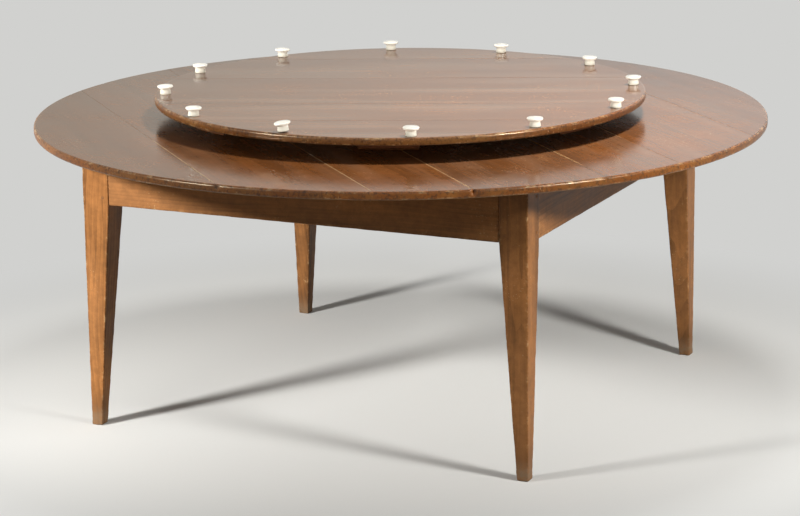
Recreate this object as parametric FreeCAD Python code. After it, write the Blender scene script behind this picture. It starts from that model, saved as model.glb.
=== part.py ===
import FreeCAD, Part
import math
import os

# Round dining table with a revolving tray, in millimetres, +Z up.
# The origin is on the floor under the tray's pivot, and X and Y run along the rails.

# Table top
table_diameter = 1828
table_height = 721
top_thickness = 20
top_edge_round = 6
centre_board_width = 322
inner_board_width = 211
outer_board_width = 295
top_boards_turn = -45          # degrees from X to the boards' length

# Legs and rails
corner_overhang = 92           # from a leg's outer arris to the rim, along the diagonal
leg_width = 71
foot_width = 28.5
leg_arris_round = 1.5
rail_depth = 140
rail_thickness = 25
rail_setback = 1.5             # the rails' faces lie this far behind the legs' faces
rail_arris_round = 1.5
tenon_thickness = 10
tenon_length = 32
tenon_bottom_shoulder = 12
tenon_top_shoulder = 20
peg_diameter = 8
peg_from_shoulder = 16
peg_from_rail_edge = 18
peg_tail = 12                  # length of a peg past the tenon
peg_stand = 0.4                # a peg's end stands this far out of the leg
block_side = 28
block_length = 80
block_from_leg = 170

# Bearer and battens under the top
bearer_width = 110
bearer_thickness = 30
top_batten_width = 75
top_batten_thickness = 25
top_batten_from_middle = 300
batten_end_gap = 12

# Pivot
hub_diameter = 250
hub_height = 17
hub_edge_round = 4
hub_screw_circle = 190
pin_diameter = 19
pin_point_chamfer = 2
pin_end_gap = 2
foot_plate_side = 80
foot_plate_thickness = 6
foot_plate_screw_spacing = 56
washer_diameter = 130
washer_thickness = 2
bush_wall = 4

# Tray
tray_diameter = 1226
tray_thickness = 19
tray_edge_round = 6
tray_joints = (-400, -190, 154, 435)      # across the boards, from the middle
tray_boards_turn = 22                     # degrees from X to the boards' length
tray_batten_thickness = 20
middle_batten_width = 140
side_batten_width = 75
side_batten_from_rim = 178                # from the tray's rim to a side batten's middle line
tray_batten_inset = 28                    # from the tray's rim to the battens' ends
batten_bevel_length = 28                  # along a batten, under each end
batten_bevel_rise = 10

# Knobs
knob_count = 12
knob_inset = 27                # from the tray's rim to the knobs' axes
first_knob_angle = 5.2         # degrees from the tray boards' length
knob_height = 24
knob_cap_diameter = 39
knob_neck_diameter = 21
knob_foot_diameter = 27
knob_foot_edge = 2
knob_cap_edge = 5
knob_cap_crown = 2.8           # rise of the cap's domed top above its edge
leaning_knob = 9
knob_lean = 8                  # degrees
knob_lean_towards = 183        # degrees from the tray boards' length

# Fastenings
joint_groove = 1.4             # width of the worn grooves along each edge joint, above and below
dowel_diameter = 8
dowel_length = 40
dowels_per_joint = 4
screw_diameter = 4.5
screw_head_diameter = 9
screw_bite = 12                # length of a screw in the board it holds
plate_screw_bite = 22
screw_slot_width = 1.2
least_crossing = 45            # a batten is screwed to a board that it crosses by this much
knob_screw_diameter = 5
knob_screw_reach = 14          # into the tray, and as far into the knob

# Clearances
fit = 0.1                      # round every peg, dowel, screw and tenon
dowel_end_room = 1
running_gap = 0.2              # between the washer and the tray's middle batten
pin_running_clearance = 0.05   # on the radius, between pin and bush

# Heights and places that follow from the sizes above
top_underside = table_height - top_thickness
rail_bottom = top_underside - rail_depth
hub_top = table_height + hub_height
washer_top = hub_top + washer_thickness
tray_batten_bottom = washer_top + running_gap
tray_underside = tray_batten_bottom + tray_batten_thickness
tray_top = tray_underside + tray_thickness
table_radius = table_diameter / 2
tray_radius = tray_diameter / 2
pin_radius = pin_diameter / 2
frame_half = (table_radius - corner_overhang) / math.sqrt(2)
leg_inner = frame_half - leg_width
rail_inner = frame_half - rail_setback - rail_thickness
first_joint = centre_board_width / 2
second_joint = first_joint + inner_board_width
third_joint = second_joint + outer_board_width
top_joints = (-third_joint, -second_joint, -first_joint, first_joint, second_joint, third_joint)

origin = FreeCAD.Vector(0, 0, 0)
up = FreeCAD.Vector(0, 0, 1)
along = FreeCAD.Vector(1, 0, 0)
across = FreeCAD.Vector(0, 1, 0)
parts = {}


def box(low_x, high_x, low_y, high_y, low_z, high_z):
    """A box between two corners."""
    corner = FreeCAD.Vector(low_x, low_y, low_z)
    return Part.makeBox(high_x - low_x, high_y - low_y, high_z - low_z, corner)


def cylinder(radius, bottom, top):
    """An upright cylinder on the pivot's axis."""
    return Part.makeCylinder(radius, top - bottom, FreeCAD.Vector(0, 0, bottom))


def turned(shape, degrees):
    """The shape turned about the pivot's axis."""
    return shape.rotated(origin, up, degrees)


def moved(shape, x, y, z):
    """The shape moved."""
    return shape.translated(FreeCAD.Vector(x, y, z))


def lathe(points):
    """A solid of revolution about Z from a closed outline of (radius, height) points."""
    corners = [FreeCAD.Vector(radius, 0, height) for radius, height in points]
    return Part.Face(Part.makePolygon(corners + corners[:1])).revolve(origin, up, 360)


def rounded_disc(radius, bottom, top, edge_round):
    """A disc on the pivot's axis with both rims rounded."""
    disc = cylinder(radius, bottom, top)
    rims = [edge for edge in disc.Edges if isinstance(edge.Curve, Part.Circle)]
    return disc.makeFillet(edge_round, rims)


def prism(points, direction, length):
    """A straight prism from a closed outline of points, along a direction."""
    corners = [FreeCAD.Vector(*point) for point in points]
    return Part.Face(Part.makePolygon(corners + corners[:1])).extrude(direction * length)


def rounded_square(side, height):
    """A leg's level section, one corner at the origin and all four arrises eased."""
    ease = leg_arris_round
    bulge = ease * (1 - math.sqrt(0.5))
    corners = ((0, 0, 1, 1), (side, 0, -1, 1), (side, side, -1, -1), (0, side, 1, -1))
    rounds = []
    for x, y, inward_x, inward_y in corners:
        ends = [FreeCAD.Vector(x, y + inward_y * ease, height),
                FreeCAD.Vector(x + inward_x * ease, y, height)]
        if inward_x != inward_y:
            ends.reverse()
        middle = FreeCAD.Vector(x + inward_x * bulge, y + inward_y * bulge, height)
        rounds.append((ends[0], middle, ends[1]))
    curves = []
    for this, following in zip(rounds, rounds[1:] + rounds[:1]):
        curves.append(Part.Arc(*this))
        curves.append(Part.LineSegment(this[2], following[0]))
    return Part.Wire([curve.toShape() for curve in curves])


def boards(radius, bottom, top, edge_round, joints, holes):
    """The boards of a round panel, lengthwise along X, with worn grooves along their joints."""
    disc = rounded_disc(radius, bottom, top, edge_round)
    lip = joint_groove / 2
    for joint in joints:
        for face, outward in ((top, lip), (bottom, -lip)):
            outline = [(-radius, joint - joint_groove, face + outward),
                       (-radius, joint + joint_groove, face + outward),
                       (-radius, joint, face - outward)]
            disc = disc.cut(prism(outline, along, 2 * radius))
    edges = (-radius,) + tuple(joints) + (radius,)
    made = []
    for low, high in zip(edges, edges[1:]):
        board = disc.common(box(-radius, radius, low, high, bottom, top))
        near = [hole for hole in holes if hole.BoundBox.intersect(board.BoundBox)]
        if near:
            board = board.cut(near)
        made.append(board.Solids[0])
    return made


def dowels_and_holes(joints, radius, height):
    """Dowels across the edge joints at one height, evenly along each joint, and their holes."""
    dowels = []
    holes = []
    for joint in joints:
        half_chord = math.sqrt(radius ** 2 - joint ** 2)
        for number in range(dowels_per_joint):
            x = half_chord * ((2 * number + 1) / dowels_per_joint - 1)
            for made, length, grown in ((dowels, dowel_length, 0),
                                        (holes, dowel_length + 2 * dowel_end_room, fit)):
                start = FreeCAD.Vector(x, joint - length / 2, height)
                made.append(Part.makeCylinder(dowel_diameter / 2 + grown, length, start, across))
    return dowels, holes


def screw(length):
    """A countersunk wood screw with a slot, its head's face at height 0 and its point upwards."""
    head = screw_head_diameter / 2
    shank = screw_diameter / 2
    body = lathe([(0, 0), (head, 0), (shank, head - shank), (shank, length - 2 * shank), (0, length)])
    slot = box(-head, head, -screw_slot_width / 2, screw_slot_width / 2, 0, screw_slot_width)
    return body.cut(slot)


def screw_hole(length):
    """The hole that such a screw fills, open below its head."""
    head = screw_head_diameter / 2 + fit
    shank = screw_diameter / 2 + fit
    return lathe([(0, -1), (head, -1), (head, fit), (shank, head - shank + fit),
                  (shank, length), (0, length + shank)])


def screws_and_holes(places, length, height, downwards=False):
    """Screws and their holes at (x, y) places, with their heads' faces at one height."""
    flip = 180 if downwards else 0
    made = []
    for shape in (screw(length), screw_hole(length)):
        shape = shape.rotated(origin, along, flip)
        made.append([moved(shape, x, y, height) for x, y in places])
    return made


def zigzag(middle, width, reach, joints):
    """Screw places along a batten across the boards: two to a board, either side of its middle."""
    edges = [-reach] + [joint for joint in joints if abs(joint) < reach] + [reach]
    places = []
    for near, far in zip(edges, edges[1:]):
        if far - near > least_crossing:
            places.append((middle - width / 4, near + (far - near) / 4))
            places.append((middle + width / 4, far - (far - near) / 4))
    return places


def rail_tenon(grown, end_room):
    """The front rail's tenons as one bar through the rail, grown by a clearance for a mortise."""
    reach = leg_inner + tenon_length + end_room
    face = -frame_half + rail_setback + (rail_thickness - tenon_thickness) / 2
    return box(-reach, reach, face - grown, face + tenon_thickness + grown,
               rail_bottom + tenon_bottom_shoulder - grown, top_underside - tenon_top_shoulder + grown)


def front_rail_pegs(grown):
    """The four pegs that pin the front rail's tenons, grown by a clearance for their holes."""
    face = -frame_half - peg_stand
    tenon_back = rail_setback + (rail_thickness + tenon_thickness) / 2
    length = peg_stand + tenon_back + peg_tail + grown
    heights = (rail_bottom + peg_from_rail_edge, top_underside - tenon_top_shoulder - peg_from_rail_edge)
    pegs = []
    for side in (-1, 1):
        for height in heights:
            start = FreeCAD.Vector(side * (leg_inner + peg_from_shoulder), face, height)
            pegs.append(Part.makeCylinder(peg_diameter / 2 + grown, length, start, across))
    return pegs


def four_ways(shapes):
    """Copies of the front side's shapes on all four sides, front first, then right, back and left."""
    return [[turned(shape, 90 * side) for shape in shapes] for side in range(4)]


def make_frame():
    """Legs tapered on their two inner faces, rails with tenons, pegs and glue blocks."""
    sections = [rounded_square(foot_width, 0), rounded_square(leg_width, rail_bottom),
                rounded_square(leg_width, top_underside)]
    leg = Part.makeLoft(sections, True, True)
    leg = moved(leg, -frame_half, -frame_half, 0)
    mortise = rail_tenon(fit, 2 * fit)
    peg_holes = front_rail_pegs(fit)
    leg = leg.cut([mortise, turned(mortise, 270)] + peg_holes + [turned(hole, 270) for hole in peg_holes])
    leg_names = ("front_left_leg", "front_right_leg", "back_right_leg", "back_left_leg")
    for name, turned_leg in zip(leg_names, four_ways([leg])):
        parts[name] = turned_leg[0]

    outer = -frame_half + rail_setback
    rail = box(-leg_inner, leg_inner, outer, outer + rail_thickness, rail_bottom, top_underside)
    lower_arrises = [edge for edge in rail.Edges
                     if edge.BoundBox.ZMax < rail_bottom + 1 and edge.BoundBox.XLength > 1]
    rail = rail.makeFillet(rail_arris_round, lower_arrises)
    rail = rail.fuse(rail_tenon(0, 0)).cut(peg_holes).removeSplitter()
    for name, turned_rail in zip(("front_rail", "right_rail", "back_rail", "left_rail"), four_ways([rail])):
        parts[name] = turned_rail[0]

    parts["rail_pegs"] = Part.makeCompound(sum(four_ways(front_rail_pegs(0)), []))

    blocks = []
    for side in (-1, 1):
        start = side * (leg_inner - block_from_leg) - block_length / 2
        outline = [(start, -rail_inner, top_underside), (start, -rail_inner + block_side, top_underside),
                   (start, -rail_inner, top_underside - block_side)]
        blocks.append(prism(outline, along, block_length))
    parts["glue_blocks"] = Part.makeCompound(sum(four_ways(blocks), []))


def make_top():
    """The top's boards, the bearer and battens under them, and the fixed half of the pivot."""
    diagonal = rail_inner * math.sqrt(2)
    bearer_reach = min(diagonal - bearer_width / 2, leg_inner * math.sqrt(2)) - batten_end_gap
    batten_reach = diagonal - top_batten_from_middle - top_batten_width / 2 - batten_end_gap
    bearer_bottom = top_underside - bearer_thickness
    batten_bottom = top_underside - top_batten_thickness
    plate_bottom = bearer_bottom - foot_plate_thickness

    dowels, dowel_holes = dowels_and_holes(top_joints, table_radius, table_height - top_thickness / 2)
    pin_hole = cylinder(pin_radius + fit, plate_bottom, hub_top)
    bearer_screws, bearer_holes = screws_and_holes(
        zigzag(0, bearer_width, bearer_reach, top_joints), bearer_thickness + screw_bite, bearer_bottom)
    batten_places = [zigzag(side * top_batten_from_middle, top_batten_width, batten_reach, top_joints)
                     for side in (-1, 1)]
    batten_screws, batten_holes = screws_and_holes(
        sum(batten_places, []), top_batten_thickness + screw_bite, batten_bottom)
    hub_place = hub_screw_circle / 2 / math.sqrt(2)
    square = ((-1, -1), (1, -1), (1, 1), (-1, 1))
    hub_screws, hub_holes = screws_and_holes(
        [(x * hub_place, y * hub_place) for x, y in square], hub_height + screw_bite, hub_top, True)
    plate_place = foot_plate_screw_spacing / 2
    plate_screws, plate_holes = screws_and_holes(
        [(x * plate_place, y * plate_place) for x, y in square],
        foot_plate_thickness + plate_screw_bite, plate_bottom)

    holes = dowel_holes + bearer_holes + batten_holes + hub_holes + [pin_hole]
    top_boards = boards(table_radius, top_underside, table_height, top_edge_round, top_joints, holes)
    made = {f"top_board_{number}": board for number, board in enumerate(top_boards, 1)}
    made["top_dowels"] = Part.makeCompound(dowels)

    bearer = box(-bearer_width / 2, bearer_width / 2, -bearer_reach, bearer_reach,
                 bearer_bottom, top_underside)
    made["pivot_bearer"] = bearer.cut(bearer_holes + plate_holes + [pin_hole])
    for name, middle in (("top_batten_left", -top_batten_from_middle),
                         ("top_batten_right", top_batten_from_middle)):
        batten = box(middle - top_batten_width / 2, middle + top_batten_width / 2,
                     -batten_reach, batten_reach, batten_bottom, top_underside)
        made[name] = batten.cut(batten_holes)
    made["bearer_screws"] = Part.makeCompound(bearer_screws)
    made["top_batten_screws"] = Part.makeCompound(batten_screws)

    hub = rounded_disc(hub_diameter / 2, table_height, hub_top, hub_edge_round)
    made["hub"] = hub.cut(hub_holes + [pin_hole])
    made["hub_screws"] = Part.makeCompound(hub_screws)
    washer = cylinder(washer_diameter / 2, hub_top, washer_top)
    made["thrust_washer"] = washer.cut(cylinder(pin_radius + 2 * fit, hub_top, washer_top))

    pin_end = tray_underside - pin_end_gap
    shaft = lathe([(0, plate_bottom), (pin_radius, plate_bottom), (pin_radius, pin_end - pin_point_chamfer),
                   (pin_radius - pin_point_chamfer, pin_end), (0, pin_end)])
    half_plate = foot_plate_side / 2
    plate = box(-half_plate, half_plate, -half_plate, half_plate, plate_bottom, bearer_bottom)
    made["pivot_pin"] = plate.fuse(shaft).cut(plate_holes).removeSplitter()
    made["pivot_pin_screws"] = Part.makeCompound(plate_screws)

    for name, shape in made.items():
        parts[name] = turned(shape, top_boards_turn)


def knob_solid():
    """A turned porcelain knob on a flared foot, with a hole for its screw, standing at the origin."""
    cap = knob_cap_diameter / 2
    neck = knob_neck_diameter / 2
    foot = knob_foot_diameter / 2
    cap_top = knob_height - knob_cap_crown
    cap_bottom = cap_top - knob_cap_edge
    lip = cap - knob_cap_edge / 2
    neck_height = (knob_foot_edge + cap_bottom) / 2
    edge_middle = (cap_top + cap_bottom) / 2
    crown_radius = (lip ** 2 + knob_cap_crown ** 2) / (2 * knob_cap_crown)
    crown_middle = knob_height - crown_radius + math.sqrt(crown_radius ** 2 - (lip / 2) ** 2)

    def point(radius, height):
        return FreeCAD.Vector(radius, 0, height)

    outline = [
        Part.LineSegment(point(0, 0), point(foot, 0)),
        Part.LineSegment(point(foot, 0), point(foot, knob_foot_edge)),
        Part.Arc(point(foot, knob_foot_edge), point(neck, neck_height), point(lip - 1, cap_bottom)),
        Part.LineSegment(point(lip - 1, cap_bottom), point(lip, cap_bottom)),
        Part.Arc(point(lip, cap_bottom), point(cap, edge_middle), point(lip, cap_top)),
        Part.Arc(point(lip, cap_top), point(lip / 2, crown_middle), point(0, knob_height)),
        Part.LineSegment(point(0, knob_height), point(0, 0)),
    ]
    wire = Part.Wire([curve.toShape() for curve in outline])
    body = Part.Face(wire).revolve(origin, up, 360)
    return body.cut(cylinder(knob_screw_diameter / 2 + fit, 0, knob_screw_reach + 1))


def placed_on_rim(shape, number):
    """A knob's shape, made at the origin, in its place on the tray; the loose knob leans over."""
    angle = math.radians(first_knob_angle + 360 / knob_count * (number - 1))
    circle = tray_radius - knob_inset
    shape = moved(shape, 0, 0, tray_top)
    if number == leaning_knob:
        lean = math.radians(knob_lean_towards)
        edge = knob_foot_diameter / 2
        touching = FreeCAD.Vector(edge * math.cos(lean), edge * math.sin(lean), tray_top)
        shape = shape.rotated(touching, FreeCAD.Vector(-math.sin(lean), math.cos(lean), 0), knob_lean)
    return moved(shape, circle * math.cos(angle), circle * math.sin(angle), 0)


def make_tray():
    """The revolving tray: boards, battens with the pivot's bush, and the knobs round the rim."""
    end_radius = tray_radius - tray_batten_inset
    bush_bore = pin_radius + pin_running_clearance
    bush_outside = bush_bore + bush_wall
    screw_length = tray_batten_thickness + screw_bite
    side_batten_middle = tray_radius - side_batten_from_rim
    battens = (("tray_batten_left", -side_batten_middle, side_batten_width),
               ("tray_batten_middle", 0, middle_batten_width),
               ("tray_batten_right", side_batten_middle, side_batten_width))

    places = []
    for name, middle, width in battens:
        reach = math.sqrt(end_radius ** 2 - (abs(middle) + width / 2) ** 2)
        places.extend(zigzag(middle, width, reach, tray_joints))
    batten_screws, batten_holes = screws_and_holes(places, screw_length, tray_batten_bottom)
    dowels, dowel_holes = dowels_and_holes(tray_joints, tray_radius, tray_top - tray_thickness / 2)

    stud = cylinder(knob_screw_diameter / 2, -knob_screw_reach, knob_screw_reach)
    stud_hole = cylinder(knob_screw_diameter / 2 + fit, -knob_screw_reach - 1, knob_screw_reach)
    knob = knob_solid()
    knob_numbers = range(1, knob_count + 1)
    stud_holes = [placed_on_rim(stud_hole, number) for number in knob_numbers]

    holes = batten_holes + dowel_holes + stud_holes
    tray_boards = boards(tray_radius, tray_underside, tray_top, tray_edge_round, tray_joints, holes)
    made = {f"tray_board_{number}": board for number, board in enumerate(tray_boards, 1)}
    made["tray_dowels"] = Part.makeCompound(dowels)

    round_ends = lathe([(0, tray_batten_bottom), (end_radius - batten_bevel_length, tray_batten_bottom),
                        (end_radius, tray_batten_bottom + batten_bevel_rise),
                        (end_radius, tray_underside), (0, tray_underside)])
    bush_hole = cylinder(bush_outside + fit, tray_batten_bottom, tray_underside)
    for name, middle, width in battens:
        batten = round_ends.common(box(middle - width / 2, middle + width / 2, -end_radius, end_radius,
                                       tray_batten_bottom, tray_underside))
        made[name] = batten.cut(batten_holes + [bush_hole])
    made["tray_batten_screws"] = Part.makeCompound(batten_screws)
    bush = cylinder(bush_outside, tray_batten_bottom, tray_underside)
    made["pivot_bush"] = bush.cut(cylinder(bush_bore, tray_batten_bottom, tray_underside))

    for number in knob_numbers:
        made[f"knob_{number:02d}"] = placed_on_rim(knob, number)
    made["knob_screws"] = Part.makeCompound([placed_on_rim(stud, number) for number in knob_numbers])

    for name, shape in made.items():
        parts[name] = turned(shape, tray_boards_turn)


make_frame()
make_top()
make_tray()

os.makedirs("parts", exist_ok=True)
for name, shape in parts.items():
    if not shape.isValid():
        raise ValueError(f"{name} is not a valid shape")
    shape.exportStep(f"parts/{name}.step")
print(len(parts), "parts")
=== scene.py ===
import math
from types import SimpleNamespace

import bmesh
import bpy
import numpy as np
from bpy.props import FloatProperty, FloatVectorProperty, IntProperty, PointerProperty
from mathutils import Matrix, Vector


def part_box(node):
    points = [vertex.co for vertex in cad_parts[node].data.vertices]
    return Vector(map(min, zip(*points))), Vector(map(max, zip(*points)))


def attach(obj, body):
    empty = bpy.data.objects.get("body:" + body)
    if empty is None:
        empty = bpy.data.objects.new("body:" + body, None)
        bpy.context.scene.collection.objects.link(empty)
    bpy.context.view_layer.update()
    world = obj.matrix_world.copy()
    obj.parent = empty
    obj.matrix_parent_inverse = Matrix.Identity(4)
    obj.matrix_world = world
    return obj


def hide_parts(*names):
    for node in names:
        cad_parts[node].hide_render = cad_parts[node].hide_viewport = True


bl_info = {
    "name": "Dining table with lazy susan",
    "version": (1, 0, 0),
    "blender": (4, 5, 0),
    "location": "View3D > Sidebar > Table",
    "description": "A round dining table with a revolving tray on its top",
    "category": "Object",
}

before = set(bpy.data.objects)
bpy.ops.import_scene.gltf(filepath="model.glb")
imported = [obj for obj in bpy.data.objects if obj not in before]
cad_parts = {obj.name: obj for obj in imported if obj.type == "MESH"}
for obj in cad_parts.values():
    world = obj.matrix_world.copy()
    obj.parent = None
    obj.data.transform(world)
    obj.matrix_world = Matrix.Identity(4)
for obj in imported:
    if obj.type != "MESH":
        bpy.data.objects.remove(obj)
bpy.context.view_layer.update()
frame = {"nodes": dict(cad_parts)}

MM = 0.001
FULL_TURN = 2 * math.pi
QUARTER_TURN = math.pi / 2

TOP_BOARDS = [f"top_board_{number}" for number in range(1, 8)]
TRAY_BOARDS = [f"tray_board_{number}" for number in range(1, 6)]
LEGS = ["front_left_leg", "front_right_leg", "back_right_leg", "back_left_leg"]
LEG_SHADE_BOARDS = (10, 12, 7, 4)  # numbers that set each leg's own tone, picked as painted light and shade so that the back left and front right legs come out darker
RAILS = ["front_rail", "right_rail", "back_rail", "left_rail"]
KNOBS = [f"knob_{number:02d}" for number in range(1, 13)]
TOP_TURN = math.radians(-45)  # direction of the boards' grain, from X
TRAY_TURN = math.radians(22)


def box_of(*nodes):
    """The lowest and highest corners of several nodes together."""
    corners = [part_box(node) for node in nodes]
    low = [min(corner[0][axis] for corner in corners) for axis in range(3)]
    high = [max(corner[1][axis] for corner in corners) for axis in range(3)]
    return Vector(low), Vector(high)


def across_board(node, turn):
    """The lowest and highest place of a board across its length."""
    side = Vector((-math.sin(turn), math.cos(turn), 0))
    places = [vertex.co.dot(side) for vertex in frame["nodes"][node].data.vertices]
    return min(places), max(places)


TRAY_LOW, TRAY_HIGH = box_of(*TRAY_BOARDS)
LEG_LOW, LEG_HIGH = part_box("front_left_leg")
RAIL_LOW, RAIL_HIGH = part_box("front_rail")
KNOB_LOW, KNOB_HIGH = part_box(KNOBS[0])


def linear(code, alpha=True):
    """An sRGB hex colour as linear values."""
    values = [int(code[place:place + 2], 16) / 255 for place in (0, 2, 4)]
    values = [v / 12.92 if v <= 0.04045 else ((v + 0.055) / 1.055) ** 2.4 for v in values]
    return tuple(values + [1.0]) if alpha else tuple(values)


def add_node(tree, kind, inputs=(), stops=(), **settings):
    """A node of a kind with its settings, and a colour ramp's stops.

    Its inputs are in the order of its sockets, or by their names. Each is a value, a socket or
    a node.
    """
    node = tree.nodes.new(kind)
    for name, value in settings.items():
        setattr(node, name, value)
    sockets = [socket for socket in node.inputs if socket.enabled]
    for key, value in inputs.items() if isinstance(inputs, dict) else enumerate(inputs):
        socket = next(s for n, s in enumerate(sockets) if key in (n, s.name))
        if isinstance(value, bpy.types.Node):
            value = next(output for output in value.outputs if output.enabled)
        if isinstance(value, bpy.types.NodeSocket):
            tree.links.new(value, socket)
        else:
            socket.default_value = value
    if stops:
        ramp = node.color_ramp.elements
        while len(ramp) < len(stops):
            ramp.new(0.5)
        for stop, (position, colour) in zip(ramp, stops):
            stop.position, stop.color = position, colour
    return node


def add_nodes(tree, kind, rows, **settings):
    """Nodes of a kind under names of their own, each from a row of inputs."""
    return SimpleNamespace(**{name: add_node(tree, kind, inputs, **settings)
                              for name, inputs in rows.items()})


# Sizes and colours that a user would change

class PanelSizes:
    """What the round top and the round tray have in common"""
    ease: FloatProperty(name="Edge round", description="Round of the rims",
                        default=6 * MM, unit="LENGTH")
    groove: FloatProperty(name="Joint groove",
                          description="Half width of the worn grooves between the boards",
                          default=0.7 * MM, unit="LENGTH")


class TopSizes(PanelSizes, bpy.types.PropertyGroup):
    seam: FloatProperty(name="Seam width", description="Width of the rubbed wood beside a joint",
                        default=2.6 * MM, unit="LENGTH")
    wobble: FloatProperty(name="Rim wobble", description="How far the hand-cut rim strays inwards",
                          default=0.7 * MM, unit="LENGTH")
    chips: IntProperty(name="Chips", description="Number of small chips along the rim",
                       default=70, min=0)


class TraySizes(PanelSizes, bpy.types.PropertyGroup):
    seam: FloatProperty(name="Seam width", description="Width of the rubbed wood beside a joint",
                        default=2 * MM, unit="LENGTH")
    wobble: FloatProperty(name="Rim wobble", description="How far the hand-cut rim strays inwards",
                          default=0.6 * MM, unit="LENGTH")
    chips: IntProperty(name="Chips", description="Number of small chips along the rim",
                       default=46, min=0)


class FrameSizes(bpy.types.PropertyGroup):
    leg_width: FloatProperty(name="Leg width", description="Width of a leg beside the rails",
                             default=LEG_HIGH.x - LEG_LOW.x, unit="LENGTH")
    foot_width: FloatProperty(name="Foot width", description="Width of a leg at the floor",
                              default=28.5 * MM, unit="LENGTH")
    arris: FloatProperty(name="Arris round", description="Round of the legs' and rails' arrises",
                         default=2.2 * MM, unit="LENGTH")
    wear: FloatProperty(name="Arris wear", description="Depth of the knocks along the arrises",
                        default=1.6 * MM, unit="LENGTH")


class KnobSizes(bpy.types.PropertyGroup):
    count: IntProperty(name="Knobs", description="Number of knobs round the tray",
                       default=len(KNOBS), min=1)
    inset: FloatProperty(name="Inset", description="From the tray's rim to the knobs' axes",
                         default=27 * MM, unit="LENGTH")
    first: FloatProperty(name="First knob",
                         description="Direction of the first knob from the pivot",
                         default=TRAY_TURN + math.radians(5.2), subtype="ANGLE")
    height: FloatProperty(name="Height", description="Height of a knob",
                          default=KNOB_HIGH.z - KNOB_LOW.z, unit="LENGTH")
    width: FloatProperty(name="Cap width", description="Width of a knob's cap",
                         default=39 * MM, unit="LENGTH")
    leaning: IntProperty(name="Leaning knob", description="Number of the loose knob",
                         default=9, min=1)
    lean: FloatProperty(name="Lean", description="How far the loose knob leans over",
                        default=math.radians(8), subtype="ANGLE")
    lean_towards: FloatProperty(name="Lean towards", description="Direction in which it leans",
                                default=TRAY_TURN + math.radians(183), subtype="ANGLE")
    uneven: FloatProperty(name="Uneven",
                          description="How far the other knobs stand out of plumb",
                          default=math.radians(1.2), subtype="ANGLE")


class Finishes(bpy.types.PropertyGroup):
    top_wood: FloatVectorProperty(name="Top wood", description="Colour of the top's boards",
                                  subtype="COLOR", default=linear("8C552C", False))
    tray_wood: FloatVectorProperty(name="Tray wood", description="Colour of the tray's boards",
                                   subtype="COLOR", default=linear("8A552E", False))
    frame_wood: FloatVectorProperty(name="Frame wood", description="Colour of the legs and rails",
                                    subtype="COLOR", default=linear("A26B3A", False))
    inside_wood: FloatVectorProperty(name="Inside wood",
                                     description="Colour of the unfinished wood",
                                     subtype="COLOR", default=linear("8E6B45", False))
    porcelain: FloatVectorProperty(name="Porcelain", description="Colour of the knobs",
                                   subtype="COLOR", default=linear("EEEBDF", False))


class StageLight(bpy.types.PropertyGroup):
    left_lamp: FloatProperty(name="Left lamp", description="Power of the lamp at the front left",
                             default=16.5, unit="POWER")
    right_lamp: FloatProperty(name="Right lamp", description="Power of the lamp at the right",
                              default=16, unit="POWER")
    top_lamp: FloatProperty(name="Top lamp", description="Power of the lamp above",
                            default=36, unit="POWER")
    board_lamp: FloatProperty(name="Board lamp",
                              description="Power of the gridded lamp on the top",
                              default=10, unit="POWER")
    glint: FloatProperty(name="Glint",
                         description="Power of the gleam of each side lamp on the rims",
                         default=22, unit="POWER")
    cards: FloatProperty(name="Cards", description="Power of each card at the height of the top",
                         default=46, unit="POWER")
    sky: FloatProperty(name="Fill", description="Strength of the light from all round",
                       default=0.16)
    bounce: FloatProperty(name="Bounce",
                          description="Share of the floor's light that reaches the table",
                          default=0.3, subtype="FACTOR")
    backdrop: FloatVectorProperty(name="Backdrop", description="Colour of the backdrop",
                                  subtype="COLOR", default=linear("EAEAE8", False))


class DiningTable(bpy.types.PropertyGroup):
    top: PointerProperty(type=TopSizes)
    tray: PointerProperty(type=TraySizes)
    frame: PointerProperty(type=FrameSizes)
    knobs: PointerProperty(type=KnobSizes)
    finishes: PointerProperty(type=Finishes)
    light: PointerProperty(type=StageLight)


# Finishes

BOARDS_APART = (5.31, 0.173, 0.0617)  # metres in the trunk from one board's grain to the next's
END_GRAIN = (1.16, 1.02, 0.42)  # factors of red, green and blue where rims turn golden
RUBBED, BARE_AND_HIGHLIGHT = "C4A88E", "CFA878"  # varnish bleached by cloths, and wood with none left, also used as painted highlight on arrises and joints
GRIME, SCUFFED = "4E3A2A", "8A745C"  # near the floor, and on the feet
DIRT = 0.22  # of the wood's own colour


def shaded(colour, factor=1.0):
    """A colour made lighter or darker, with alpha."""
    return tuple(min(1.0, channel * factor) for channel in colour[:3]) + (1.0,)


def shades(colour, *steps):
    """A colour ramp's stops from places and shares of a colour."""
    return [(place, shaded(colour, factor)) for place, factor in steps]


def new_material(name):
    """An empty node material, its tree and a piece's own coordinates in it."""
    material = bpy.data.materials.new(name)
    material.use_nodes = True
    tree = material.node_tree
    tree.nodes.clear()
    return material, tree, add_node(tree, "ShaderNodeTexCoord").outputs["Object"]


def drawn_out(tree, place, *rows):
    """Noises drawn out along the grain, which runs along X.

    Each is from its features per metre along and across the grain, then the noise's detail,
    roughness, lacunarity and distortion.
    """
    noises = []
    for along, across, *look in rows:
        drawn = add_node(tree, "ShaderNodeMapping",
                         {"Vector": place, "Scale": (along, across, across)})
        noises.append(add_node(tree, "ShaderNodeTexNoise", [drawn, 1.0, *look]))
    return noises


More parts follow.
